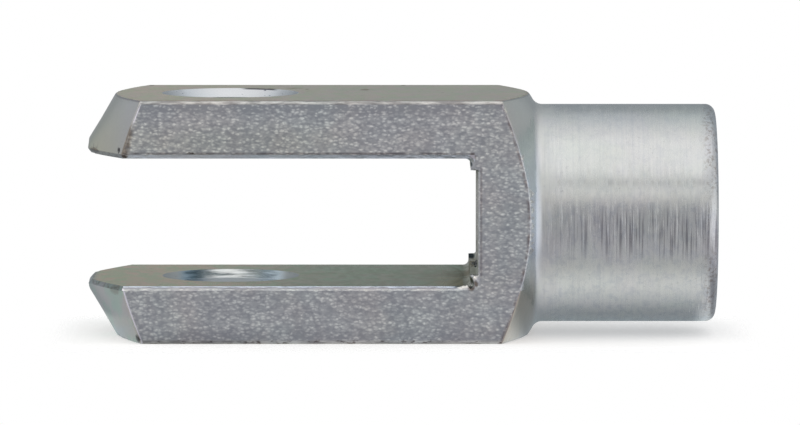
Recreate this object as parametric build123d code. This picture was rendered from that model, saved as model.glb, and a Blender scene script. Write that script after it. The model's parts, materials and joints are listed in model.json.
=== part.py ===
from build123d import *
import os
from math import radians, sqrt, tan

# Clevis rod end, also called a fork head: one piece machined from a square steel bar, for a
# 10 mm pin and an M10 rod.
#
# Frame, in mm: the origin is the centre of the pin bore, on the rod axis. +X runs along the rod
# axis from the open fork to the end of the shank, and +Z is the pin axis. The slot is open
# towards -X and passes through along Y, so one ear lies above it and one below.

# ---- Square bar ----
bar_width = 20.0              # across the flats
bar_edge_radius = 0.3         # rounding that drawing leaves on the bar's four long edges

# ---- Fork slot ----
slot_width = 10.5             # between the cheeks, for a 10 mm eye
slot_reach = 19.9             # pin axis to the slot's floor
slot_corner_radius = 0.45     # fillet that the cutter leaves between a cheek and the floor
slot_edge_chamfer = 0.33      # deburring of the slot's edges, round the ears' ends as well

# ---- Groove that the roughing cutter leaves along the middle of the slot's floor ----
groove_ledge = 0.95           # floor left on each side of the groove
groove_depth = 0.62
groove_corner_radius = 0.2
groove_edge_chamfer = 0.15    # deburring of the groove's edges on the bar's two side faces

# ---- Turned ends: the blank is turned about the rod axis before the slot is milled ----
turning_angle = 30.0          # slope of both turned cones, from the plane across the rod axis
turned_edge_radius = 0.12     # light rounding where the cones meet the bar's flats
tip_reach = 11.7              # pin axis to the ears' flat ends
tip_land = 1.0                # height of the flat left at each ear's end, from the cheek out
shoulder_wall = 5.5           # slot's floor to the line where the shoulder cone meets the shank
neck_radius = 0.9             # fillet along that line

# ---- Shank ----
shank_step = 0.95             # depth turned off the bar's flats, so the shank is 18.1 mm across
shank_length = 14.9
shank_end_radius = 0.8        # rounding of the shank's outer end

# ---- Pin bore, through both ears ----
pin_bore_diameter = 10.0
pin_bore_chamfer = 0.7        # countersink at each of its four mouths

# ---- Rod thread, from the shank's end through to the slot; modelled as its tapping bore ----
thread_diameter = 10.0        # nominal size of the metric thread
thread_pitch = 1.5
thread_mouth_chamfer = 1.05   # countersink at the shank's end

# ---- Sizes that follow ----
half_bar = bar_width / 2
bar_corner_reach = bar_width / sqrt(2)
half_slot = slot_width / 2
groove_width = slot_width - 2 * groove_ledge
groove_floor = slot_reach + groove_depth
tip_face_radius = half_slot + tip_land
shoulder_reach = slot_reach + shoulder_wall
shank_radius = half_bar - shank_step
shank_reach = shoulder_reach + shank_length
cone_run = tan(radians(turning_angle))    # run along the rod axis for each mm of radius
tap_drill_radius = (thread_diameter - thread_pitch) / 2


def square_bar():
    """The drawn bar, cut to length, with its long edges rounded."""
    length = tip_reach + shank_reach
    middle = (shank_reach - tip_reach) / 2
    bar = Pos(middle, 0, 0) * Box(length, bar_width, bar_width)
    return fillet(bar.edges().filter_by(Axis.X), bar_edge_radius)


def turned_envelope():
    """What turning leaves: tip cone, room for the square, shoulder cone, neck and shank."""
    tip_cone_end = -tip_reach + (bar_corner_reach - tip_face_radius) * cone_run
    shoulder_cone_start = shoulder_reach - (bar_corner_reach - shank_radius) * cone_run
    outline = Polyline(
        (-tip_reach, 0),
        (-tip_reach, tip_face_radius),
        (tip_cone_end, bar_corner_reach),
        (shoulder_cone_start, bar_corner_reach),
        (shoulder_reach, shank_radius),
        (shank_reach, shank_radius),
        (shank_reach, 0),
        close=True,
    )
    section = make_face(outline)
    neck = section.vertices().sort_by_distance((shoulder_reach, shank_radius))[0]
    section = fillet(neck, neck_radius)
    rim = section.vertices().sort_by_distance((shank_reach, shank_radius))[0]
    section = fillet(rim, shank_end_radius)
    return revolve(section, Axis.X)


def channel_section(floor, width, corner_radius):
    """A cutter's section in XZ: open beyond the ears' ends, rounded at its floor."""
    open_end = -tip_reach - bar_width
    section = Pos((open_end + floor) / 2, 0) * Rectangle(floor - open_end, width)
    floor_corners = section.vertices().group_by(Axis.X)[-1]
    return fillet(floor_corners, corner_radius)


def slot_rim(fork):
    """The slot's edges on the bar's side faces, and the cheeks' edges round the ears' ends."""
    side_edges = fork.faces().filter_by(Axis.Y).edges()
    side_edges = side_edges.filter_by_position(Axis.Z, -half_slot, half_slot)
    side_edges = side_edges.filter_by_position(Axis.X, -tip_reach, slot_reach)
    cheeks = fork.faces().filter_by(Axis.Z).filter_by_position(Axis.Z, -half_slot, half_slot)
    end_edges = cheeks.edges().filter_by(lambda edge: edge.center().X < 0)
    return side_edges + end_edges


def cut_slot(blank):
    """Mill the slot through the bar and deburr it."""
    section = channel_section(slot_reach, slot_width, slot_corner_radius)
    fork = blank - extrude(Plane.XZ * section, half_bar, both=True)
    return chamfer(slot_rim(fork), slot_edge_chamfer)


def cut_groove(fork):
    """Sink the roughing cutter's groove in the slot's floor and deburr its two ends."""
    section = channel_section(groove_floor, groove_width, groove_corner_radius)
    fork -= extrude(Plane.XZ * section, half_bar, both=True)
    widened = Plane.XZ.offset(half_bar) * offset(section, groove_edge_chamfer)
    bevel = extrude(widened, -groove_edge_chamfer, taper=45)
    return fork - bevel - mirror(bevel, Plane.XZ)


def turned_edges(fork):
    """The curves where the cones meet the bar's flats and its rounded long edges."""
    curves = fork.edges().filter_by(GeomType.HYPERBOLA) + fork.edges().filter_by(GeomType.BSPLINE)
    clear_of_slot = half_slot + slot_edge_chamfer
    shoulder = curves.filter_by(lambda edge: edge.center().X > 0)
    tips = curves.filter_by(lambda edge: edge.center().X < 0 and abs(edge.center().Z) > clear_of_slot)
    return shoulder + tips


def bore_for_pin(fork):
    """Bore the pin hole through both ears and countersink its four mouths."""
    pin_bore_radius = pin_bore_diameter / 2
    fork -= Cylinder(pin_bore_radius, bar_width)
    mouths = fork.faces().filter_by(Axis.Z).edges().filter_by(GeomType.CIRCLE)
    mouths = mouths.filter_by(lambda edge: edge.arc_center.X < pin_bore_radius)
    return chamfer(mouths, pin_bore_chamfer)


def bore_for_rod(fork):
    """Bore the tapping hole from the shank's end to the slot and countersink its mouth."""
    bore_start = Plane(origin=(slot_reach, 0, 0), z_dir=(1, 0, 0))
    fork -= extrude(bore_start * Circle(tap_drill_radius), shank_reach - slot_reach)
    end_face = fork.faces().sort_by(Axis.X)[-1]
    mouth = end_face.edges().filter_by(GeomType.CIRCLE).sort_by(SortBy.RADIUS)[0]
    return chamfer(mouth, thread_mouth_chamfer)


def clevis_rod_end():
    """Turn the blank, mill the slot and its groove, break the edges and make the two bores."""
    fork = cut_slot(square_bar() & turned_envelope())
    fork = fillet(turned_edges(fork), turned_edge_radius)
    fork = cut_groove(fork)
    return bore_for_rod(bore_for_pin(fork))


os.makedirs("parts", exist_ok=True)
export_step(clevis_rod_end(), "parts/clevis_body.step")
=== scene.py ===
"""Clevis rod end: the finished look of one machined, zinc-plated steel part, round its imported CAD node."""

import json
import math

import bmesh
import bpy
from mathutils import Matrix, Vector, noise


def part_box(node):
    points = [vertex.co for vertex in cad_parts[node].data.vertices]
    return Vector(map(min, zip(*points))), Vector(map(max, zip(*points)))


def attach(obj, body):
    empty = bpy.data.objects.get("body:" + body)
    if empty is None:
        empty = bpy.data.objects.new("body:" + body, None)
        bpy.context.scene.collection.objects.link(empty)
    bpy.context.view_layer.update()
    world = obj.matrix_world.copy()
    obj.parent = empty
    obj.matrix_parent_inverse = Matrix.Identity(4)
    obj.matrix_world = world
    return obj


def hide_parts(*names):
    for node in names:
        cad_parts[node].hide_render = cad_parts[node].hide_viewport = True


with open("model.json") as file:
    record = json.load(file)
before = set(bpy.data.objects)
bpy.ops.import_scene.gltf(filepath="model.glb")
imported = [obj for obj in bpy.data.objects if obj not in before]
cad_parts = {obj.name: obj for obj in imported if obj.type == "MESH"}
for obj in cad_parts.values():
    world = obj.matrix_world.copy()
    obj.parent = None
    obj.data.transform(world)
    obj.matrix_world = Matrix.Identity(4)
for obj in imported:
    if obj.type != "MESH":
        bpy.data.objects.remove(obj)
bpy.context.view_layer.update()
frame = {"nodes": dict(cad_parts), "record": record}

MM = 0.001
X, Y, Z = Vector((1, 0, 0)), Vector((0, 1, 0)), Vector((0, 0, 1))

# ---- Sizes in mm, from the frame ----
node = frame["nodes"]["clevis_body"]
node_low, node_high = (Vector(corner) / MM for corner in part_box("clevis_body"))
mounts = {mount["name"]: mount for mount in frame["record"]["mounts"]}
half_bar = node_high.z
tip_reach = -node_low.x
shank_reach = node_high.x
half_slot = mounts["upper_cheek"]["pos_m"][2] / MM
pin_bore_radius = mounts["pin_bore"]["dims"]["r_mm"]
tap_drill_radius = mounts["rod_thread"]["dims"]["r_mm"]

# ---- Sizes in mm that the frame doesn't name, as in the part's source ----
bar_edge_radius = 0.3
slot_reach = 19.9
slot_edge_chamfer = 0.33
groove_floor = slot_reach + 0.62
groove_ledge = 0.95
groove_edge_chamfer = 0.15
shoulder_reach = slot_reach + 5.5
neck_radius = 0.9
shank_radius = half_bar - 0.95
tip_face_radius = half_slot + 1.0
turning_angle = math.radians(30)
pin_bore_chamfer = 0.7

# ---- Sizes that follow ----
slot_edge = half_slot + slot_edge_chamfer         # height where the slot's chamfers meet the bar's sides
slot_floor_edge = slot_reach + slot_edge_chamfer  # and how far along they reach
half_groove = half_slot - groove_ledge
sine, cosine = math.sin(turning_angle), math.cos(turning_angle)

# ---- M10 x 1.5 thread, cut into the tapping bore ----
thread_pitch = 1.5
thread_major_radius = 5.0
thread_root_flat = thread_pitch / 8
flank_slope = math.tan(math.radians(30))
thread_steps = 56             # steps round each turn
thread_lead, thread_exit = 2.2, 1.5     # how far the cutting ridge runs on past the bore's two ends
thread_overlap = 0.25         # how deep the ridge's foot lies inside the bore

# ---- Mesh, in mm ----
coarse_step = 1.0             # grid on the plain faces
fine_step = 0.2               # along the edges
edge_band = 0.42              # how far from an edge the fine grid reaches
torn_band = 0.9               # and how far from the torn corner a grid twice as fine does
beyond = 0.05                 # how far past an edge the grid's first line lies
weld = 0.0001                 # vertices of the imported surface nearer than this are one
flat_angle = math.radians(0.05)         # and faces that bend less than this are one face
on_plane = 0.0005             # a vertex this near a cutting plane lies on it
on_face = 0.01                # a face whose middle is this near one of the part's surfaces lies on it
sliver = 0.022                # vertices nearer than this are merged after the cutting
sharp_angle = math.radians(32)          # an edge that bends more than this is shaded as an edge

# ---- Wear, with lengths in mm ----
knocked_band = 0.32           # how far from an edge the dents reach
dome_run = 1.2                # how far from the ears' ends they bulge
dome_low, dome_peak = 0.07, 0.06        # the bulge at the sides, and what the middle adds
dome_middle, dome_width = 1.2, 1.6      # where the middle is, along Y, and its half width
corner_run, corner_band, corner_rounds = 0.55, 0.3, 4   # softened part of the ears' corners
even_wear, wave_depth, dent_depth = 0.02, 0.03, 0.12    # what an edge loses all along, and in places
dent_least = 0.28             # how high the noise is where a dent starts
slot_share = 0.45             # the slot's edges have this share of the waves and dents
burr_reach = 2.5              # a flap's pull ends this many radii from its place


def new_object(name, data):
    made = bpy.data.objects.new(name, data)
    bpy.context.scene.collection.objects.link(made)
    return made


# ================================================================ shape

BAR, TURNED, MILLED, BORED, TAPPED = range(5)


def packed_surface():
    """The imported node's surface in mm, with its flat faces whole again."""
    surface = bmesh.new()
    surface.from_mesh(node.data)
    surface.transform(Matrix.Scale(1 / MM, 4))
    bmesh.ops.remove_doubles(surface, verts=surface.verts, dist=weld)
    bmesh.ops.dissolve_limit(surface, angle_limit=flat_angle, verts=surface.verts, edges=surface.edges)
    return surface


def edge_distance(point):
    """Distance from a point on the surface to the nearest edge: its depth under the nearest other surface."""
    x, y, z = point
    from_axis = math.hypot(y, z)
    bar_side, bar_top = half_bar - abs(y), half_bar - abs(z)
    ear_end = x + tip_reach
    tip_cone = ear_end * cosine - (from_axis - tip_face_radius) * sine
    depths = [bar_side, bar_top, ear_end, tip_cone]
    if x < shoulder_reach:
        shoulder = (shoulder_reach - x) * cosine - (from_axis - shank_radius) * sine
        depths.append(shoulder)
    if x < groove_floor + 0.1 and abs(z) < half_slot + 1:
        slot = max(x - slot_reach, abs(z) - half_slot)
        depths.append(slot)
    return sorted(depths)[1]


def zone_of(face):
    """Which machining left this face."""
    centre, normal = face.calc_center_median(), face.normal
    from_axis = math.hypot(centre.y, centre.z)
    if centre.x > groove_floor - 0.1 and from_axis < thread_major_radius + 0.4 and abs(normal.x) < 0.99:
        return TAPPED
    if math.hypot(centre.x, centre.y) < pin_bore_radius + pin_bore_chamfer and abs(normal.z) < 0.9:
        return BORED
    in_slot = abs(centre.z) < half_slot + on_face and centre.x < groove_floor + on_face
    if in_slot and abs(centre.y) < half_bar - on_face:
        return MILLED
    faces_out = max(abs(normal.y), abs(normal.z)) > 0.999
    if faces_out and max(abs(centre.y), abs(centre.z)) > half_bar - on_face:
        return BAR
    if min(abs(centre.y), abs(centre.z)) > half_bar - bar_edge_radius and abs(normal.x) < 0.1:
        return BAR
    if abs(centre.z) < slot_edge and abs(centre.y) > half_bar - slot_edge_chamfer:
        return BAR
    return TURNED


def crosses(face, axis, place):
    heights = [vert.co.dot(axis) - place for vert in face.verts]
    return min(heights) < -on_plane and max(heights) > on_plane


def cut_across(surface, axis, places, wanted):
    """Adds a loop of edges where each plane across the axis cuts the wanted faces."""
    for place in places:
        faces = [f for f in surface.faces if wanted(f) and crosses(f, axis, place)]
        around = {part for f in faces for part in (*f.verts, *f.edges)}
        bmesh.ops.bisect_plane(
            surface, geom=[*around, *faces], dist=on_plane, plane_co=axis * place, plane_no=axis)


def split_face(face, axis, place):
    """Splits a convex face along the plane across the axis and returns the part beyond it."""
    ends = []
    for loop in list(face.loops):
        start, end = loop.vert, loop.link_loop_next.vert
        before, after = start.co.dot(axis) - place, end.co.dot(axis) - place
        if abs(before) < on_plane:
            ends.append(start)
        elif before * after < 0 and abs(after) >= on_plane:
            ends.append(bmesh.utils.edge_split(loop.edge, start, before / (before - after))[1])
    if len(ends) != 2:
        return None
    made = bmesh.utils.face_split(face, *ends)[0]
    if made is None:
        return None
    return max(face, made, key=lambda part: part.calc_center_median().dot(axis))


def split_finely(surface, axis, size, wanted):
    """The same for small convex faces, which is quicker than cutting the whole surface with each plane."""
    for face in [f for f in surface.faces if wanted(f)]:
        reach = [vert.co.dot(axis) for vert in face.verts]
        place = math.ceil(min(reach) / size) * size
        while face and place < max(reach) - on_plane:
            if place > min(reach) + on_plane:
                face = split_face(face, axis, place)
            place += size


def between(start, end, size):
    """Evenly spaced places strictly between start and end, about size apart."""
    count = max(1, round((end - start) / size))
    return [start + (end - start) * i / count for i in range(1, count)]


def refine(surface):
    """A coarse grid on the plain faces and a fine one along the edges."""
    def plain(face):
        return face.material_index not in (TAPPED, BORED)

    def forked(face):
        return plain(face) and face.calc_center_median().x < shoulder_reach

    def banded(face):
        return forked(face) and edge_distance(face.calc_center_median()) < edge_band

    def torn(face):
        return plain(face) and (face.calc_center_median() - torn_corner).length < torn_band

    first_lines = [half_bar - bar_edge_radius - beyond, slot_edge + beyond]
    both_sides = [side * reach for reach in first_lines for side in (-1, 1)]
    cut_across(surface, X, [slot_floor_edge + beyond], forked)
    cut_across(surface, Y, both_sides[:2], forked)
    cut_across(surface, Z, both_sides, forked)
    cut_across(surface, X, between(-tip_reach, shank_reach, coarse_step), plain)
    cut_across(surface, Z, between(-half_bar, half_bar, coarse_step), forked)
    cut_across(surface, Y, between(-half_bar, half_bar, coarse_step), forked)
    for wanted, size in ((banded, fine_step), (torn, fine_step / 2)):
        for axis in (X, Z, Y):
            split_finely(surface, axis, size, wanted)
    bmesh.ops.remove_doubles(surface, verts=surface.verts, dist=sliver)


def thread_tool():
    """The ridge that a tap cuts out of the bore's wall: a trapezium swept along a helix."""
    start, end = groove_floor - thread_lead, shank_reach + thread_exit
    root, foot = thread_major_radius, tap_drill_radius - thread_overlap
    half_root = thread_root_flat / 2
    half_foot = half_root + (root - foot) * flank_slope
    section = [(-half_foot, foot), (-half_root, root), (half_root, root), (half_foot, foot)]
    count = round((end - start) / thread_pitch * thread_steps)
    ridge = bmesh.new()
    rings = []
    for i in range(count + 1):
        angle = 2 * math.pi * i / thread_steps
        middle = start + thread_pitch * i / thread_steps
        rings.append([ridge.verts.new((middle + along, radius * math.sin(angle), radius * math.cos(angle)))
                      for along, radius in section])
    for a, b in zip(rings, rings[1:]):
        for j in range(len(section)):
            k = (j + 1) % len(section)
            ridge.faces.new((a[j], a[k], b[k], b[j]))
    ridge.faces.new(rings[0][::-1])
    ridge.faces.new(rings[-1])
    bmesh.ops.recalc_face_normals(ridge, faces=ridge.faces)
    mesh = bpy.data.meshes.new("thread_tool")
    ridge.to_mesh(mesh)
    ridge.free()
    return new_object("thread_tool", mesh)


def cut_thread(surface):
    """Subtracts the thread's ridge from the surface and returns what is left."""
    mesh = bpy.data.meshes.new("blank")
    surface.to_mesh(mesh)
    surface.free()
    blank, tool = new_object("blank", mesh), thread_tool()
    cut = blank.modifiers.new("thread", "BOOLEAN")
    cut.operation, cut.solver, cut.object = "DIFFERENCE", "EXACT", tool
    evaluated = blank.evaluated_get(bpy.context.evaluated_depsgraph_get())
    threaded = bmesh.new()
    threaded.from_mesh(bpy.data.meshes.new_from_object(evaluated))
    for scrap in (blank, tool):
        bpy.data.objects.remove(scrap)
    return threaded


# Flaps of metal that the cutter pushed over the slot's lower corner: place, radius and pull, in mm
torn_corner = Vector((19.9, -9.9, -4.9))
burrs = [
    ((19.98, -9.9, -4.48), 0.20, (-0.22, -0.10, 0.16)),
    ((20.25, -9.95, -4.70), 0.20, (-0.14, -0.16, 0.16)),
    ((20.48, -9.98, -4.92), 0.14, (-0.05, -0.14, 0.10)),
    ((19.95, -9.85, -5.05), 0.22, (0.06, 0.20, -0.10)),
    ((19.55, -9.85, -5.40), 0.17, (0.06, -0.03, 0.30)),
    ((19.25, -9.85, -5.42), 0.22, (0.03, -0.03, 0.20)),
    ((18.90, -9.85, -5.42), 0.22, (0.0, -0.03, 0.08)),
]


def bulge(point):
    """How far a point of the surface is moved to dome the ears' flat ends outward."""
    towards_end = max(0.0, 1 - (point.x + tip_reach) / dome_run)
    height = dome_low + dome_peak * math.exp(-((point.y - dome_middle) / dome_width) ** 2)
    return X * -height * towards_end ** 2


def knock(point):
    """How deep a point on an edge is pushed in: handling's dents and the plating's waviness."""
    wave = noise.noise(point * 0.9 + Vector((3, 1, 7))) * 0.5 + noise.noise(point * 2.6) * 0.5
    dent = max(0.0, noise.noise(point * 1.7 + Vector((4, 9, 2))) - dent_least) * 2
    share = 1.0 if abs(point.z) > half_slot + 1 else slot_share
    return even_wear + share * (wave_depth * wave + dent_depth * dent)


def wear_edges(surface):
    """Domes the ears' ends, dents the edges, softens the ends' corners and raises the torn corner's flaps."""
    surface.normal_update()
    moves = {vert: bulge(vert.co) for vert in surface.verts}
    for vert in surface.verts:
        if vert.co.x > shoulder_reach or vert.link_faces[0].material_index in (BORED, TAPPED):
            continue
        near_edge = 1 - edge_distance(vert.co) / knocked_band
        if near_edge >= 0:
            moves[vert] -= vert.normal * near_edge * knock(vert.co)
    for vert, move in moves.items():
        vert.co += move
    corners = [vert for vert in surface.verts
               if vert.co.x < -tip_reach + corner_run and edge_distance(vert.co) < corner_band]
    for _ in range(corner_rounds):
        bmesh.ops.smooth_vert(
            surface, verts=corners, factor=0.5, use_axis_x=True, use_axis_y=True, use_axis_z=True)
    for vert in surface.verts:
        for place, radius, pull in burrs:
            near = (vert.co - Vector(place)).length / radius
            if near < burr_reach:
                vert.co += Vector(pull) * math.exp(-near * near)


# ================================================================ materials

def linear(*srgb):
    """A colour given as it looks on a screen, 0 to 255, as the shader's linear numbers."""
    return tuple((c / 255 / 12.92 if c < 11 else ((c / 255 + 0.055) / 1.055) ** 2.4) for c in srgb) + (1.0,)


class Nodes:
    """Shorthand for one material's node tree, with places in mm."""

    def __init__(self, name):
        self.material = bpy.data.materials.new(name)
        self.material.use_nodes = True
        self.tree = self.material.node_tree
        self.shader = self.tree.nodes["Principled BSDF"]
        place = self.add("ShaderNodeTexCoord")
        self.mm = self.vector_math("MULTIPLY", place.outputs["Object"], (1 / MM,) * 3)
        self.x, self.y, self.z = self.split(self.mm)

    def add(self, kind, **settings):
        node = self.tree.nodes.new(kind)
        for key, value in settings.items():
            setattr(node, key, value)
        return node

    def feed(self, socket, value):
        if isinstance(value, bpy.types.NodeSocket):
            self.tree.links.new(value, socket)
        else:
            socket.default_value = value

    # ---- Numbers ----

    def math(self, operation, *values, clamp=False):
        node = self.add("ShaderNodeMath", operation=operation, use_clamp=clamp)
        for socket, value in zip(node.inputs, values):
            self.feed(socket, value)
        return node.outputs[0]

    def plus(self, a, b):
        return self.math("ADD", a, b)

    def minus(self, a, b):
        return self.math("SUBTRACT", a, b)

    def larger(self, a, b):
        return self.math("MAXIMUM", a, b)

    def product(self, value, *others):
        for other in others:
            value = self.math("MULTIPLY", value, other)
        return value

    def size(self, value):
        return self.math("ABSOLUTE", value)

    def distance(self, a, b):
        """The length of a line that reaches a across and b up."""
        return self.math("SQRT", self.plus(self.math("POWER", a, 2.0), self.math("POWER", b, 2.0)))

    def above(self, value, least):
        """How far value lies above least, and 0 below it."""
        return self.larger(self.minus(value, least), 0.0)

    def blend(self, share, a, b):
        """The number a where share is 0, and b where it is 1."""
        return self.plus(a, self.product(share, self.minus(b, a)))

    def fade(self, value, low, high, to_low=0.0, to_high=1.0):
        """Smoothly from to_low where value is low to to_high where it is high."""
        node = self.add("ShaderNodeMapRange", interpolation_type="SMOOTHSTEP")
        for socket, number in zip(node.inputs, (value, low, high, to_low, to_high)):
            self.feed(socket, number)
        return node.outputs[0]

    def falling(self, value, low, high):
        """Smoothly from 1 where value is low to 0 where it is high."""
        return self.fade(value, low, high, 1.0, 0.0)

    def within(self, value, start, full, fading, gone):
        """Smoothly up from 0 to 1 between start and full, and down again between fading and gone."""
        return self.product(self.fade(value, start, full), self.falling(value, fading, gone))

    # ---- Places ----

    def vector_math(self, operation, *values):
        node = self.add("ShaderNodeVectorMath", operation=operation)
        for socket, value in zip(node.inputs, values):
            self.feed(socket, value)
        return node.outputs["Value" if operation == "LENGTH" else "Vector"]

    def vector(self, x, y, z):
        node = self.add("ShaderNodeCombineXYZ")
        for socket, value in zip(node.inputs, (x, y, z)):
            self.feed(socket, value)
        return node.outputs[0]

    def split(self, vector):
        node = self.add("ShaderNodeSeparateXYZ")
        self.feed(node.inputs[0], vector)
        return node.outputs

    def stretched(self, x, y, z):
        """The place in mm, multiplied along each axis."""
        return self.vector_math("MULTIPLY", self.mm, (x, y, z))

    def shaken(self, place, amount, scale):
        """The place, moved about by up to amount, by noise of this scale."""
        wobble = self.add("ShaderNodeTexNoise")
        self.feed(wobble.inputs["Vector"], self.mm)
        wobble.inputs["Scale"].default_value = scale
        return self.vector_math("MULTIPLY_ADD", wobble.outputs["Color"], (amount,) * 3, place)

    def under_cone(self, reach, radius, side):
        """Depth in mm under a turned cone that has this radius at this reach along X; side is +1 or -1."""
        along = self.product(self.minus(reach, self.x), side * cosine)
        return self.minus(along, self.product(self.minus(self.distance(self.y, self.z), radius), sine))

    # ---- Patterns, from 0 to 1 ----

    def noise(self, place, scale=1.0, detail=2.0, roughness=0.5, distortion=0.0):
        node = self.add("ShaderNodeTexNoise")
        self.feed(node.inputs["Vector"], place)
        settings = {"Scale": scale, "Detail": detail, "Roughness": roughness, "Distortion": distortion}
        for key, value in settings.items():
            node.inputs[key].default_value = value
        return node.outputs[0]

    def streaks(self, x, y, z, detail=2.0, roughness=0.5, distortion=0.0):
        """Noise with so many cells to a millimetre along each axis."""
        return self.noise(self.stretched(x, y, z), 1.0, detail, roughness, distortion)

    def rings(self, along, around, shift, roughness):
        """Noise with so many cells to a millimetre along the rod axis and to a radian round it."""
        turn = self.math("ARCTAN2", self.y, self.z)
        place = self.vector(self.product(self.x, along), self.product(turn, around), shift)
        return self.noise(place, 1.0, 3.0, roughness)

    def pebbles(self, place, full, gone, fewest, most):
        """1 in the middle of a cell, fading out between the distances full and gone; many cells stay dim."""
        node = self.add("ShaderNodeTexVoronoi")
        self.feed(node.inputs["Vector"], place)
        node.inputs["Scale"].default_value = 1.0
        lot = self.add("ShaderNodeSeparateColor")
        self.feed(lot.inputs[0], node.outputs["Color"])
        return self.product(self.falling(node.outputs["Distance"], full, gone),
                            self.fade(lot.outputs[0], fewest, most))

    def marks(self, spots, raggedness=0.35):
        """1 on small spots, each given as its centre in mm and its half width along X, Y and Z."""
        place = self.shaken(self.mm, raggedness, scale=3.0)
        total = 0.0
        for centre, half_width in spots:
            near = self.vector_math("SUBTRACT", place, [c + raggedness / 2 for c in centre])
            share = self.vector_math("LENGTH", self.vector_math("DIVIDE", near, half_width))
            total = self.larger(total, self.falling(share, 0.5, 1.1))
        return total

    # ---- Colours and surfaces ----

    def mix(self, share, a, b, kind="Color", **settings):
        """a where share is 0 and b where it is 1; kind is Color or Vector."""
        data_type = {"Color": "RGBA", "Vector": "VECTOR"}[kind]
        node = self.add("ShaderNodeMix", data_type=data_type, **settings)
        sockets = {socket.identifier: socket for socket in (*node.inputs, *node.outputs)}
        for name, value in (("Factor_Float", share), (f"A_{kind}", a), (f"B_{kind}", b)):
            self.feed(sockets[name], value)
        return sockets[f"Result_{kind}"]

    def times(self, colour, tint, share=1.0):
        """The colour, multiplied by the tint where share is 1."""
        return self.mix(share, colour, tint, blend_type="MULTIPLY")

    def bump(self, height, distance, under=None):
        """height is 0 to 1 and distance is what 1 stands for, in mm; under is the bump that it lies on."""
        node = self.add("ShaderNodeBump")
        node.inputs["Strength"].default_value = 1.0
        node.inputs["Distance"].default_value = distance * MM
        self.feed(node.inputs["Height"], height)
        if under is not None:
            self.feed(node.inputs["Normal"], under)
        return node.outputs[0]

    def metal(self, colour, roughness, normal, metallic=1.0, grazing=(0.91, 0.975, 1.0, 1)):
        """Finishes the material; grazing is the tint of what it mirrors at a flat angle."""
        self.feed(self.shader.inputs["Base Color"], colour)
        self.shader.inputs["Specular Tint"].default_value = grazing
        self.feed(self.shader.inputs["Roughness"], roughness)
        self.feed(self.shader.inputs["Normal"], normal)
        self.feed(self.shader.inputs["Metallic"], metallic)
        return self.material

    def glow(self, strength, colour=(1, 1, 1, 1)):
        node = self.add("ShaderNodeEmission")
        self.feed(node.inputs["Strength"], strength)
        self.feed(node.inputs["Color"], colour)
        return node.outputs[0]

    def shader_mix(self, share, a, b):
        node = self.add("ShaderNodeMixShader")
        for socket, value in zip(node.inputs, (share, a, b)):
            self.feed(socket, value)
        return node.outputs[0]

    def shown(self, shader):
        """Finishes a material that shows this shader."""
        self.feed(self.tree.nodes["Material Output"].inputs[0], shader)
        return self.material


# Tints of the passivation; the olive ones show on flat faces at a flat angle
green, blue, rose = (0.93, 1.0, 0.90, 1), (0.92, 0.97, 1.0, 1), (1.0, 0.94, 0.96, 1)
olive, pale_olive = (0.935, 0.93, 0.80, 1), (0.96, 0.965, 0.82, 1)


def tinted(n, colour, tint, amount=0.5, shift=0.0):
    """The colour with clouds of the tint, which leave and return over some millimetres."""
    place = n.vector(n.plus(n.x, shift), n.y, n.z) if shift else n.mm
    cloud = n.fade(n.noise(place, 0.22, detail=3.0, roughness=0.55, distortion=0.5), 0.36, 0.64)
    return n.times(colour, tint, n.product(cloud, amount))


# Marks at one place each, of wear and of painted light and shade: centre and half width, in mm
pits = [      # dark hollows in the edges
    ((-8.97, -9.6, 5.95), (0.15, 0.8, 0.36)),
    ((-7.42, -9.8, -9.60), (0.28, 0.9, 0.40)),
]
nicks_and_bore_rim_shade = [     # smaller dark marks, round the edges and on the top, and painted shade along the upper bore's far rim
    ((-8.45, -9.9, 5.45), (0.34, 0.5, 0.16)),
    ((-11.35, -3.0, 5.50), (0.22, 1.0, 0.14)),
    ((-10.9, -5.6, 5.50), (0.22, 0.8, 0.10)),
    ((-9.6, -8.6, 5.42), (0.30, 0.4, 0.08)),
    ((-3.0, -10.0, 5.7), (0.45, 0.3, 0.08)),
    ((-6.9, 9.4, 9.98), (0.30, 0.9, 0.2)),
    ((14.4, 9.4, 9.98), (0.25, 0.8, 0.2)),
    # The next two are painted shade along the upper bore's far rim
    ((3.3, 4.95, 9.98), (0.45, 0.35, 0.2)),
    ((1.9, 5.55, 9.98), (1.2, 0.22, 0.1)),
    ((6.3, 4.2, 9.98), (0.22, 0.5, 0.1)),
]
stains = [    # softer and brown
    ((-11.2, -4.5, 5.6), (0.5, 2.2, 0.22)),
    ((19.95, -9.95, -5.30), (0.34, 0.5, 0.40)),
    ((20.3, -9.95, -5.0), (0.24, 0.4, 0.30)),
    ((20.0, -9.9, 5.0), (0.18, 0.4, 0.25)),
    ((11.2, 3.7, 9.98), (0.50, 1.2, 0.1)),
    ((5.2, 5.6, 9.98), (1.0, 0.5, 0.1)),
]
smudges = [   # fainter still
    ((20.05, -9.95, 5.45), (0.34, 0.5, 0.3)),
    ((-9.35, -8.5, -5.60), (0.75, 1.4, 0.50)),
]
painted_glints = [    # painted highlights on the torn corner's flaps
    ((20.05, -9.9, -4.55), (0.42, 0.6, 0.34)),
    ((19.25, -9.9, -5.25), (0.62, 0.5, 0.24)),
]
corner_shade_spots = [    # painted shade in the slot's corners, dark, matte and not metal
    ((20.1, 7.6, -4.3), (0.36, 3.2, 0.4)),
    ((20.42, -2.2, -4.35), (0.16, 1.2, 0.3)),
    ((19.9, -9.3, 4.8), (0.30, 0.7, 0.30)),
]


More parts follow.
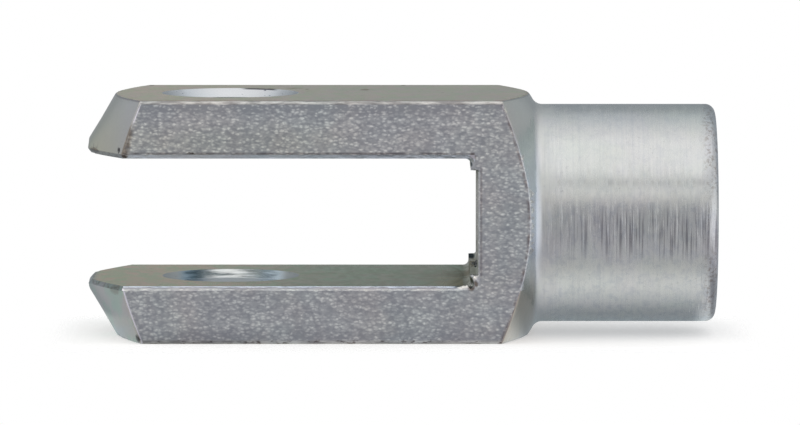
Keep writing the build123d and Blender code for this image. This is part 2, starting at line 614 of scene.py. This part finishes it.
def wear_and_painted_light(n, colour):
    """The colour with the painted highlights, stains, smudges, dark marks and pits on it, and the painted
    shade along the upper bore's far rim.
    """
    # Painted highlights on the torn corner's flaps
    colour = n.mix(n.marks(painted_glints, 0.15), colour, linear(240, 236, 230))
    colour = n.times(colour, linear(184, 170, 158), n.marks(stains))
    colour = n.times(colour, linear(226, 216, 212), n.marks(smudges))
    colour = n.times(colour, linear(142, 134, 130), n.marks(nicks_and_bore_rim_shade))
    return n.times(colour, linear(96, 90, 90), n.marks(pits))


def few_spots(n):
    """Small round spots, some millimetres apart."""
    return n.fade(n.noise(n.mm, 2.4, detail=2.0, roughness=0.5), 0.67, 0.73)


# ---- The drawn bar ----

def bar_skin(n):
    """How pale the skin is, from 0 to 1, which its pebbles give, and the finer specks among them."""
    cells = n.shaken(n.stretched(2.5, 4.6, 4.6), amount=1.2, scale=2.2)
    pebbles = n.pebbles(cells, full=0.02, gone=0.74, fewest=-0.5, most=1.0)
    specks = n.fade(n.streaks(1.6, 2.8, 2.8, detail=2.0, roughness=0.6, distortion=0.3), 0.34, 0.66)
    pale = n.plus(n.product(pebbles, 0.85), n.product(specks, 0.28))
    pale = n.product(pale, n.fade(n.z, -half_slot, half_slot, 0.86, 1.0))
    to_edge = n.minus(half_bar, n.size(n.z))
    bare = n.fade(to_edge, 0.3, 1.6, n.fade(n.z, -1.0, 1.0, 0.14, 0.26), 0.0)
    patches = n.fade(n.noise(n.mm, 0.4, detail=2.0), 0.35, 0.65, 0.05, -0.05)
    return n.math("SUBTRACT", pale, n.plus(bare, patches), clamp=True), specks


def top_face(n, specks):
    """The bar's top, and its underside: smoother, with faint patches, and duller along the front."""
    colour = n.mix(n.fade(n.x, -8.0, 12.0), linear(236, 229, 221), linear(212, 214, 214))
    colour = n.mix(n.product(n.fade(specks, 0.2, 0.9), 0.5), colour, linear(214, 210, 203))
    patches = n.fade(n.streaks(0.8, 0.3, 0.3, detail=5.0, roughness=0.68, distortion=0.4), 0.42, 0.58)
    colour = n.times(colour, n.mix(patches, linear(242, 252, 240), linear(255, 248, 251)))
    colour = n.times(colour, linear(184, 182, 184), few_spots(n))
    front_strip = n.product(n.falling(n.y, -9.2, -8.4), n.fade(n.streaks(0.5, 0, 0), 0.35, 0.55))
    return n.times(colour, linear(240, 226, 230), front_strip)


def slot_chamfers(n, colour):
    """The slot's deburred edges with painted light on them: a painted highlight on the upper chamfer, a
    bright strip and a darker one on the lower, and painted shade beside them and beside the groove's edge.
    """
    at_slot = n.falling(n.x, slot_floor_edge - 0.02, slot_floor_edge)
    # Painted highlight on the upper ear's chamfer
    upper = n.product(at_slot, n.falling(n.z, slot_edge - 0.02, slot_edge), n.fade(n.z, -0.1, 0.1))
    colour = n.mix(upper, colour, linear(238, 242, 252))
    # The lower chamfer is painted as a bright strip along its top and a darker one below it, for the light on
    # its rolled edge
    down = n.math("DIVIDE", n.minus(-half_slot, n.z), slot_edge_chamfer)
    down = n.plus(down, n.fade(n.streaks(0.8, 2.0, 2.0, detail=3.0, roughness=0.6), 0.3, 0.7, -0.12, 0.12))
    lower = n.product(at_slot, n.fade(n.z, -slot_edge - 0.05, -slot_edge), n.falling(n.z, -0.1, 0.1))
    middle = n.product(lower, n.within(down, 0.22, 0.34, 0.5, 0.66))
    colour = n.mix(middle, colour, linear(168, 168, 176))
    colour = n.mix(n.product(lower, n.fade(down, 0.2, 0.3, 0.8, 0.0)), colour, linear(214, 224, 240))
    # Painted shade on the bar's sides just beyond the slot's chamfers
    broken = n.fade(n.streaks(0.7, 2.0, 2.0, detail=3.0, roughness=0.6), 0.3, 0.55)
    over_edge = n.within(n.minus(n.z, slot_edge), 0.0, 0.05, 0.12, 0.26)
    colour = n.times(colour, linear(188, 182, 182), n.product(over_edge, at_slot, broken))
    # Painted shade beside the groove's edge
    past_groove = n.minus(n.x, groove_floor + groove_edge_chamfer)
    beside_groove = n.falling(n.size(n.z), half_groove, half_groove + 0.4)
    beside_groove = n.product(n.within(past_groove, 0.0, 0.03, 0.1, 0.24), beside_groove)
    return n.times(colour, linear(220, 215, 216), beside_groove)


def bar_tips(n, colour, tip_skin):
    """A painted highlight along the line where the tip cones cut the bar's sides, and a brown smear across it
    on the upper ear.
    """
    # Painted highlight where the tip cones meet the bar's sides
    line = n.product(n.within(tip_skin, 0.0, 0.04, 0.14, 0.22), n.fade(n.z, 9.3, 9.8, 1.0, 0.2))
    clear_of_smear = n.fade(n.size(n.minus(n.z, 6.7)), 1.3, 1.7)
    colour = n.mix(n.product(line, clear_of_smear), colour, linear(246, 241, 247))
    smear = n.falling(n.plus(tip_skin, n.product(n.minus(n.z, 6.0), 0.12)), 0.3, 0.62)
    cloudy = n.fade(n.noise(n.mm, 2.0), 0.3, 0.6, 0.5, 1.0)
    smear = n.product(smear, n.within(n.z, 5.0, 5.4, 7.4, 8.3), cloudy)
    return n.times(colour, linear(192, 180, 170), smear)


def drawn_bar():
    """The bar's own skin: mid grey, with small paler and rougher pebbles all over its sides."""
    n = Nodes("drawn_bar")
    pale, specks = bar_skin(n)
    grain = n.noise(n.mm, 7.0, detail=3.0, roughness=0.6)
    colour = n.mix(grain, linear(173, 174, 178), linear(184, 185, 188))
    colour = n.mix(pale, colour, linear(246, 246, 240))
    rim = n.within(n.minus(half_bar, n.size(n.z)), 0.01, 0.05, 0.28, 0.34)
    rubbed = n.fade(n.streaks(0.6, 3.0, 3.0, detail=3.0, roughness=0.6), 0.35, 0.65)
    colour = n.mix(rim, colour, n.mix(rubbed, linear(150, 148, 148), linear(206, 205, 202)))
    above_foot = n.plus(n.z, half_bar)
    scuffed = n.fade(n.streaks(1.3, 3.0, 3.0, detail=3.0, roughness=0.7), 0.54, 0.62)
    colour = n.times(colour, linear(170, 164, 164), n.product(n.falling(above_foot, 0.2, 0.5), scuffed))
    on_top = n.fade(n.size(n.z), half_bar - 0.03, half_bar - 0.01)
    colour = n.mix(n.product(on_top, 0.9), colour, top_face(n, specks))
    colour = slot_chamfers(n, colour)
    upper_ear = n.product(n.within(n.z, half_slot, half_slot + 1.0, 6.5, 8.8), n.falling(n.x, 4.0, 14.0))
    colour = n.times(colour, linear(255, 254, 248), upper_ear)
    tip_skin = n.under_cone(-tip_reach, tip_face_radius, -1)
    colour = bar_tips(n, colour, tip_skin)
    # Painted shade: darker towards the bar's foot
    colour = n.times(colour, linear(231, 231, 234), n.falling(above_foot, 0.2, 1.8))
    beside_cone = n.within(n.under_cone(shoulder_reach, shank_radius, 1), 0.02, 0.1, 0.14, 0.34)
    broken = n.fade(n.noise(n.mm, 1.1, detail=3.0, roughness=0.6), 0.38, 0.64)
    colour = n.times(colour, linear(196, 184, 182), n.product(beside_cone, broken))
    colour = tinted(n, wear_and_painted_light(n, colour), blue, amount=0.7)
    colour = tinted(n, colour, rose, amount=0.5, shift=17.0)
    height = n.plus(n.product(pale, 0.75), n.product(grain, 0.15))
    rounded = n.bump(n.fade(tip_skin, -0.02, 0.2), 0.05)
    return n.metal(colour, n.fade(pale, 0.0, 1.0, 0.30, 0.46), n.bump(height, 0.012, rounded), grazing=olive)


# ---- Turned steel ----

def tip_cones(n, colour, to_flat):
    """The ears' turned ends: green and rose bands below, and above an olive one with a brown smear."""
    at_tips = n.falling(n.x, 0.0, 4.0)
    upper_tip = n.product(at_tips, n.fade(n.z, -1.0, 1.0))
    lower_tip = n.product(at_tips, n.falling(n.z, -1.0, 1.0))
    towards_bar = n.fade(n.x, -11.4, -7.8)
    colour = n.times(colour, n.mix(towards_bar, linear(255, 249, 222), linear(252, 249, 246)), upper_tip)
    bands = n.fade(n.streaks(0.9, 0.3, 0.3), 0.4, 0.6)
    colour = n.times(colour, n.mix(bands, linear(234, 252, 238), linear(253, 247, 244)), lower_tip)
    chamfered = n.product(n.falling(n.size(n.z), slot_edge, slot_edge + 0.08), at_tips)
    specked = n.fade(n.noise(n.mm, 3.2, detail=3.0, roughness=0.65), 0.48, 0.6)
    colour = n.times(colour, n.mix(specked, linear(206, 209, 216), linear(158, 150, 146)), chamfered)
    low_part = n.product(n.falling(n.z, half_slot + 0.3, half_slot + 1.1), upper_tip)
    low_part = n.product(low_part, n.falling(n.x, -10.9, -10.3))
    pocked = n.fade(n.noise(n.mm, 2.6, detail=3.0, roughness=0.65), 0.52, 0.6)
    colour = n.times(colour, linear(188, 184, 188), n.product(low_part, pocked))
    under_top = n.falling(n.minus(half_bar, n.z), 0.06, 0.2)
    colour = n.times(colour, linear(206, 198, 204), n.product(under_top, at_tips))
    smear = n.product(n.within(n.z, 5.0, 5.4, 7.6, 8.4), at_tips, n.falling(n.y, -2.0, 0.0))
    return n.times(colour, linear(188, 178, 168), n.product(smear, n.falling(to_flat, 0.02, 0.2)))


def shank_skin(n, colour, on_shank):
    """A paler band round the middle height, painted light where the shank mirrors the dark room in front,
    with dark streaks along the front that are partly torn turning lines and partly painted shade; and faint
    mottling all round.
    """
    # Painted light: paler round the middle height, where the shank mirrors the dark room in front
    colour = n.mix(n.product(n.fade(n.z, -2.6, -0.8), n.fade(n.z, 0.9, 1.9, 0.19, 0.0)), colour,
                   linear(248, 248, 248))
    # Dark streaks along the front, partly torn turning lines and partly painted shade, put only where the
    # shank mirrors the dark room
    band = n.product(n.within(n.z, -4.0, -1.5, -0.2, 1.7), n.falling(n.y, -4.0, -2.0))
    band = n.product(band, n.fade(n.x, 27.0, 31.0, 0.3, 1.0))
    fine = n.fade(n.rings(along=6.5, around=1.3, shift=7.0, roughness=0.6), 0.48, 0.6)
    colour = n.times(colour, linear(196, 194, 198), n.product(fine, band))
    mottled = n.fade(n.streaks(1.5, 1.1, 1.1, detail=5.0, roughness=0.72, distortion=0.4), 0.44, 0.64)
    mottled = n.product(mottled, n.fade(n.z, 1.0, 3.0, 0.6, 0.3))
    bands = n.fade(n.streaks(3.2, 0.0, 0.0, detail=3.0, roughness=0.75), 0.44, 0.62)
    mottled = n.product(n.plus(mottled, n.product(bands, 0.25)), on_shank)
    colour = n.times(colour, linear(230, 233, 240), mottled)
    return n.times(colour, linear(250, 253, 255), n.product(n.fade(n.z, 1.5, 3.0), on_shank))


def shoulder_cone(n, colour, past_fork):
    """Darker and warmer below, a painted shade with a warm tint; bluish in the middle and a little olive
    towards the top.
    """
    on_cone = n.product(past_fork, n.falling(n.x, shoulder_reach - 0.4, shoulder_reach))
    # Painted shade with a warm tint on the cone's lower part
    colour = n.times(colour, linear(230, 218, 206), n.product(n.falling(n.z, -6.5, -2.0), on_cone))
    bluish = n.fade(n.size(n.minus(n.z, 1.0)), 3.0, 7.5, 0.45, 0.0)
    bluish = n.product(bluish, past_fork, n.falling(n.x, shoulder_reach - 0.1, shoulder_reach + 0.5))
    colour = n.mix(bluish, colour, linear(196, 208, 226))
    return n.times(colour, linear(247, 248, 240), n.product(n.fade(n.z, 3.0, 6.0), on_cone))


def turned_steel():
    """Smooth cones, and a shank with fine lines round the rod axis, some polished and some torn."""
    n = Nodes("turned")
    on_shank = n.fade(n.x, shoulder_reach, shoulder_reach + neck_radius, 0.25, 1.0)
    past_fork = n.fade(n.x, 0.0, 4.0)
    lines = n.rings(along=3.2, around=1.5, shift=0.0, roughness=0.7)
    broken = n.rings(along=1.1, around=5.0, shift=3.0, roughness=0.6)
    rubbed = n.fade(n.plus(n.product(lines, 0.6), n.product(broken, 0.4)), 0.36, 0.64)
    past_shoulder = n.minus(n.x, shoulder_reach)
    beside_neck = n.within(past_shoulder, -0.3, 0.2, 0.6, 1.8)
    roughness = n.plus(n.product(rubbed, on_shank, 0.2), n.plus(n.product(beside_neck, 0.16), 0.14))
    grain = n.noise(n.mm, 6.0, detail=3.0, roughness=0.6)
    colour = n.mix(grain, linear(206, 206, 206), linear(214, 214, 212))
    near_rim = n.fade(n.x, shank_reach - 1.6, shank_reach - 0.5, 0.07, 0.0)
    stained = n.fade(n.minus(n.streaks(2.5, 4.0, 4.0, detail=4.0, roughness=0.7), near_rim), 0.56, 0.64)
    colour = n.mix(n.product(stained, 0.35), colour, linear(140, 139, 142))
    to_flat = n.minus(half_bar, n.larger(n.size(n.y), n.size(n.z)))
    colour = tip_cones(n, colour, to_flat)
    # Painted shade on the shoulder cone's edges beside the bar's sides, darkest at middle height, which dims
    # their highlight
    on_edge = n.product(n.falling(to_flat, 0.05, 0.12), n.falling(past_shoulder, 0.0, 0.1), past_fork)
    edge_shade_tint = n.mix(n.fade(n.size(n.z), 3.0, 6.0), linear(140, 140, 146), linear(220, 217, 224))
    colour = n.times(colour, edge_shade_tint, on_edge)
    colour = shoulder_cone(n, shank_skin(n, colour, on_shank), past_fork)
    colour = wear_and_painted_light(n, colour)
    at_rim = n.product(n.fade(n.x, shank_reach - 1.5, shank_reach - 0.7), n.fade(n.size(n.z), 1.0, 4.0))
    rim_spots = n.fade(n.noise(n.mm, 3.0, detail=3.0, roughness=0.7), 0.5, 0.6)
    colour = n.times(colour, n.mix(rim_spots, linear(242, 242, 246), linear(206, 200, 200)), at_rim)
    colour = tinted(n, colour, green, amount=0.3)
    colour = tinted(n, colour, rose, amount=0.3, shift=11.0)
    smooth = n.bump(n.plus(grain, n.product(broken, 2.0)), 0.001)
    return n.metal(colour, roughness, n.bump(n.product(n.fade(lines, 0.48, 0.72), on_shank), 0.015, smooth))


# ---- Milled, bored and tapped steel ----

def milled_steel():
    """Cheeks with the arcs of the slotting cutter, which are plain only near the slot's floor; painted shade
    darkens them towards the floor and in the slot's corners.
    """
    n = Nodes("milled")
    cutter_radius = 32.0
    arc = n.math("SQRT", n.minus(cutter_radius ** 2, n.math("POWER", n.y, 2.0)))
    swept = n.vector(n.product(n.minus(n.x, arc), 2.6), 0.0, n.product(n.z, 2.0))
    lines = n.noise(swept, 1.0, detail=3.0, roughness=0.6)
    grain = n.noise(n.mm, 4.0, detail=3.0, roughness=0.6)
    past_bore = n.fade(n.x, -4.0, 9.0)
    to_floor = n.minus(slot_reach, n.x)
    in_corner = n.fade(to_floor, 0.5, 2.5, 1.0, 0.08)
    lower_cheek = n.falling(n.z, -1.0, 1.0)
    colour = n.mix(grain, linear(222, 216, 210), linear(229, 224, 218))
    colour = n.mix(lower_cheek, linear(196, 204, 210), colour)
    colour = n.times(colour, linear(188, 216, 222), past_bore)
    # Painted shade: darker towards the slot's floor
    colour = n.times(colour, linear(217, 219, 225), n.fade(n.x, 8.0, slot_reach))
    patches = n.fade(n.streaks(0.7, 0.3, 0.3, detail=5.0, roughness=0.68, distortion=0.4), 0.42, 0.58)
    colour = n.times(colour, n.mix(patches, linear(226, 246, 234), linear(255, 240, 240)), lower_cheek)
    cloudy = n.fade(n.streaks(1.5, 0.5, 0.5, detail=5.0, roughness=0.75), 0.42, 0.58)
    colour = n.times(colour, linear(222, 226, 222), n.product(cloudy, past_bore, lower_cheek))
    colour = n.times(colour, linear(160, 162, 164), n.product(few_spots(n), lower_cheek))
    colour = n.mix(n.falling(to_floor, 0.1, 0.6), colour, linear(190, 193, 196))
    colour = n.times(colour, linear(190, 188, 180), n.product(n.fade(lines, 0.5, 0.62), in_corner))
    near_floor = n.falling(to_floor, 0.6, 5.0)
    ragged = n.plus(n.y, n.fade(n.streaks(1.2, 0.8, 1.0, detail=4.0, roughness=0.65), 0.3, 0.7, -2.5, 2.5))
    dull = n.product(n.within(ragged, -3.0, -0.5, 1.5, 5.5), near_floor)
    colour = n.times(colour, linear(158, 144, 122), dull)
    brown = n.product(n.falling(ragged, -4.5, -2.0), near_floor, n.fade(to_floor, 0.5, 0.7))
    colour = n.times(colour, linear(236, 216, 160), brown)
    chamfered = n.fade(n.size(n.z), half_slot + 0.005, half_slot + 0.03)
    colour = n.mix(chamfered, colour, linear(168, 178, 192))
    colour = tinted(n, colour, green, amount=0.7)
    colour = tinted(n, colour, rose, amount=0.6, shift=9.0)
    # Painted shade in the slot's corners: a dark colour, rough and not metal there
    painted_corner_shade = n.marks(corner_shade_spots, 0.2)
    colour = n.mix(painted_corner_shade, colour, linear(38, 58, 68))
    groove_edge = n.product(n.fade(n.x, groove_floor - 0.02, groove_floor + 0.02),
                            n.fade(n.size(n.y), half_bar - 0.2, half_bar - 0.12))
    colour = n.times(colour, linear(224, 226, 225), groove_edge)
    lines = n.product(lines, in_corner)
    roughness = n.plus(n.product(lines, 0.2), 0.26)
    return n.metal(colour, n.blend(painted_corner_shade, roughness, 1.0), n.bump(lines, 0.01, n.bump(grain, 0.001)),
                   n.minus(1.0, painted_corner_shade), pale_olive)


def bored_steel():
    """Fine rings round the pin axis, chatter marks in the lower ear's bore, and painted light and shade in
    its mouth and on the upper bore's far rim.
    """
    n = Nodes("bored")
    turn = n.product(n.math("ARCTAN2", n.y, n.x), 0.6)
    lines = n.noise(n.vector(n.product(n.z, 4.0), turn, 0.0), detail=3.0)
    colour = n.mix(lines, linear(202, 205, 210), linear(214, 216, 220))
    countersunk = n.fade(n.distance(n.x, n.y), pin_bore_radius + 0.01, pin_bore_radius + 0.06)
    lower_mouth = n.product(n.fade(n.z, -half_slot - 2.0, -half_slot - 1.4), n.falling(n.z, -1.0, 1.0))
    # Painted light and shade in the lower ear's mouth: darker and bluer towards the tips' end, paler in the
    # middle, greyer at both ends
    mouth_painted_light = n.mix(n.fade(n.x, -3.4, -1.6), linear(148, 170, 184), linear(226, 229, 229))
    mouth_painted_light = n.mix(n.fade(n.x, 1.6, 3.0), mouth_painted_light, linear(216, 228, 236))
    mouth_painted_light = n.mix(n.fade(n.size(n.x), 3.8, 4.8), mouth_painted_light, linear(178, 181, 180))
    colour = n.mix(n.product(lower_mouth, 0.9), colour, mouth_painted_light)
    in_countersink = n.product(countersunk, lower_mouth)
    inner_lip = n.falling(n.size(n.z), half_slot + 0.9, half_slot + 1.6)
    inner_lip = n.product(inner_lip, n.falling(countersunk, 0.0, 1.0), lower_mouth)
    roughness = n.blend(in_countersink, n.fade(lines, 0.3, 0.7, 0.14, 0.26), 0.27)
    roughness = n.blend(inner_lip, roughness, 0.5)
    rings = n.bump(lines, 0.005)
    scored = n.vector(n.product(n.z, 2.4), n.product(n.x, 0.4), n.product(n.y, 0.4))
    scored = n.fade(n.noise(scored, 1.0, detail=1.0), 0.3, 0.7)
    normal = n.mix(in_countersink, rings, n.bump(scored, 0.03, rings), kind="Vector")
    specks = n.fade(n.noise(n.mm, 2.6, detail=2.0), 0.68, 0.72)
    colour = n.times(colour, linear(170, 172, 180), specks)
    # Painted shade on the upper bore's far rim, beside its chamfer
    far_rim_shade = n.product(n.fade(n.z, half_bar - 0.12, half_bar - 0.07), n.fade(n.y, 2.0, 3.0))
    colour = n.times(colour, linear(110, 108, 112), n.product(far_rim_shade, n.within(n.x, 0.6, 1.4, 3.4, 4.0)))
    return n.metal(tinted(n, colour, blue), roughness, normal)


def tapped_steel():
    """The thread: plain, with a fine grain."""
    n = Nodes("tapped")
    grain = n.noise(n.stretched(1, 3, 3), 2.0, detail=3.0)
    colour = n.mix(grain, linear(180, 182, 184), linear(206, 207, 206))
    return n.metal(tinted(n, colour, blue), n.fade(grain, 0.3, 0.7, 0.25, 0.4), n.bump(grain, 0.008))


# ================================================================ build

surface = packed_surface()
for face in surface.faces:
    face.material_index = zone_of(face)
refine(surface)
surface = cut_thread(surface)
wear_edges(surface)
for edge in surface.edges:
    edge.smooth = edge.calc_face_angle(0) < sharp_angle
for face in surface.faces:
    face.smooth = True
surface.transform(Matrix.Scale(MM, 4))
mesh = bpy.data.meshes.new("clevis")
surface.to_mesh(mesh)
surface.free()
clevis = new_object("clevis", mesh)
for made in (drawn_bar(), turned_steel(), milled_steel(), bored_steel(), tapped_steel()):
    mesh.materials.append(made)
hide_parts("clevis_body")
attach(clevis, "root")

# ================================================================ studio

floor_front, floor_side, floor_back = 8.0, 4.0, 4.0   # how far the floor goes beyond the part, in mm
floor_lift = 0.38             # what the floor gives the camera on top of the light that it gets
room_radius = 2.0             # in metres

# ---- Camera: beside the part, a little above it, in metres and degrees ----
camera_place = (0.014107, -0.58823, 0.05022)
camera_dip = 4.88             # how far it looks down
focal_length = 318.85

world = bpy.data.worlds.new("studio")
bpy.context.scene.world = world
world.use_nodes = True
world.node_tree.nodes["Background"].inputs["Color"].default_value = (1, 1, 1, 1)
world.node_tree.nodes["Background"].inputs["Strength"].default_value = 1.0


def pale_floor():
    """White under even light, and fading out round the part, so that only the part's shadow shows; what the
    metal mirrors of it is a glow with a painted shadow.
    """
    n = Nodes("pale_floor")
    tone = n.mix(n.noise(n.mm, 0.2, detail=2.0), (0.80, 0.80, 0.80, 1), (0.84, 0.84, 0.84, 1))
    n.feed(n.shader.inputs["Base Color"], tone)
    n.shader.inputs["Roughness"].default_value = 1.0
    n.shader.inputs["Specular IOR Level"].default_value = 0.0
    ray = n.add("ShaderNodeLightPath").outputs
    seen_straight = n.larger(ray["Is Camera Ray"], ray["Is Transmission Ray"])
    lit = n.add("ShaderNodeAddShader")
    n.feed(lit.inputs[0], n.shader.outputs[0])
    n.feed(lit.inputs[1], n.glow(n.product(seen_straight, floor_lift)))
    # What the metal mirrors: a glow with a painted shadow, darker under the part than beside it and dimmer
    # towards the tips' end
    past_end = n.minus(n.size(n.minus(n.x, (shank_reach - tip_reach) / 2)), (shank_reach + tip_reach) / 2)
    past_side = n.minus(n.size(n.y), half_bar)
    out = n.larger(n.product(past_end, 4.0), past_side)
    shade = n.blend(n.fade(out, -1.9, 3.5), n.fade(out, -7.8, -1.6, 0.36, 0.87), 0.62)
    shade = n.blend(n.fade(n.x, -2.0, 8.0), 0.53, shade)
    mirrored = n.glow(shade, n.mix(n.fade(out, -7.0, -2.0), (0.94, 1.0, 1.05, 1), (0.98, 1.0, 1.0, 1)))
    seen = n.shader_mix(ray["Is Glossy Ray"], lit.outputs[0], mirrored)
    # Where it has faded out
    past_end, past_side = n.above(past_end, 0.0), n.above(past_side, 0.0)
    narrowed = n.fade(n.y, -2.0, 2.0, 1.0, floor_back / floor_front)
    beside = n.vector(n.product(past_end, floor_front / floor_side),
                      n.math("DIVIDE", past_side, narrowed), 0.0)
    missed = n.larger(past_end, n.product(past_side, n.fade(n.y, -1, 1)))
    missed = n.product(n.fade(missed, 0.0, 1.5), ray["Is Glossy Ray"])
    gone = n.larger(n.fade(n.vector_math("LENGTH", beside), 0.5, floor_front), missed)
    gone = n.larger(gone, n.add("ShaderNodeNewGeometry").outputs["Backfacing"])
    return n.shown(n.shader_mix(gone, seen, n.add("ShaderNodeBsdfTransparent").outputs[0]))


def studio_room():
    """Grey walls that the camera doesn't see, with a large soft light overhead and one on each side."""
    n = Nodes("studio_room")
    right, away, up = n.split(n.vector_math("NORMALIZE", n.mm))
    in_front = n.falling(away, -0.4, 0.0)
    table = n.product(n.fade(up, -0.65, -0.3, 0.14, 0.0), in_front)
    wall = n.plus(n.fade(away, -1.0, 1.0, 0.43, 0.35), table)
    window = n.product(n.fade(n.size(right), 0.3, 0.6), n.falling(n.size(up), 0.35, 0.6))
    lit_side = n.blend(n.fade(right, -0.1, 0.1), 0.62, 0.95)
    wall = n.blend(window, wall, n.blend(n.fade(away, -0.2, 0.6), lit_side, 0.50))
    overhead = n.product(n.fade(up, 0.60, 0.78, 0.82, 1.0),
                         n.minus(1.15, n.product(n.above(away, -0.1), 0.66)))
    gap = n.within(up, 0.53, 0.57, 0.62, 0.66)
    overhead = n.minus(overhead, n.product(gap, in_front, 0.3))
    high = n.fade(up, 0.14, 0.44)
    sky = n.mix(n.fade(away, 0.0, 0.6), (1.01, 1.0, 0.98, 1), (0.97, 1.0, 1.02, 1))
    return n.shown(n.glow(n.blend(high, wall, overhead), n.mix(high, (0.985, 1.0, 1.05, 1), sky)))


left, right = -tip_reach - floor_side, shank_reach + floor_side
front, back = -half_bar - floor_front, half_bar + floor_back
outline = ((left, front), (right, front), (right, back), (left, back))
corners = [(x * MM, y * MM, -half_bar * MM) for x, y in outline]
plate = bpy.data.meshes.new("floor")
plate.from_pydata(corners, [], [(0, 1, 2, 3)])
plate.materials.append(pale_floor())
floor = new_object("floor", plate)

ball = bmesh.new()
bmesh.ops.create_uvsphere(ball, u_segments=48, v_segments=24, radius=room_radius)
shell = bpy.data.meshes.new("studio_room")
ball.to_mesh(shell)
ball.free()
shell.materials.append(studio_room())
room = new_object("studio_room", shell)
room.visible_camera = False

camera = new_object("camera", bpy.data.cameras.new("camera"))
camera.location = camera_place
camera.rotation_euler = (math.radians(90 - camera_dip), 0, 0)
camera.data.lens = focal_length
camera.data.clip_start, camera.data.clip_end = 0.01, 10
bpy.context.scene.camera = camera
bpy.context.scene.view_settings.view_transform = "Standard"
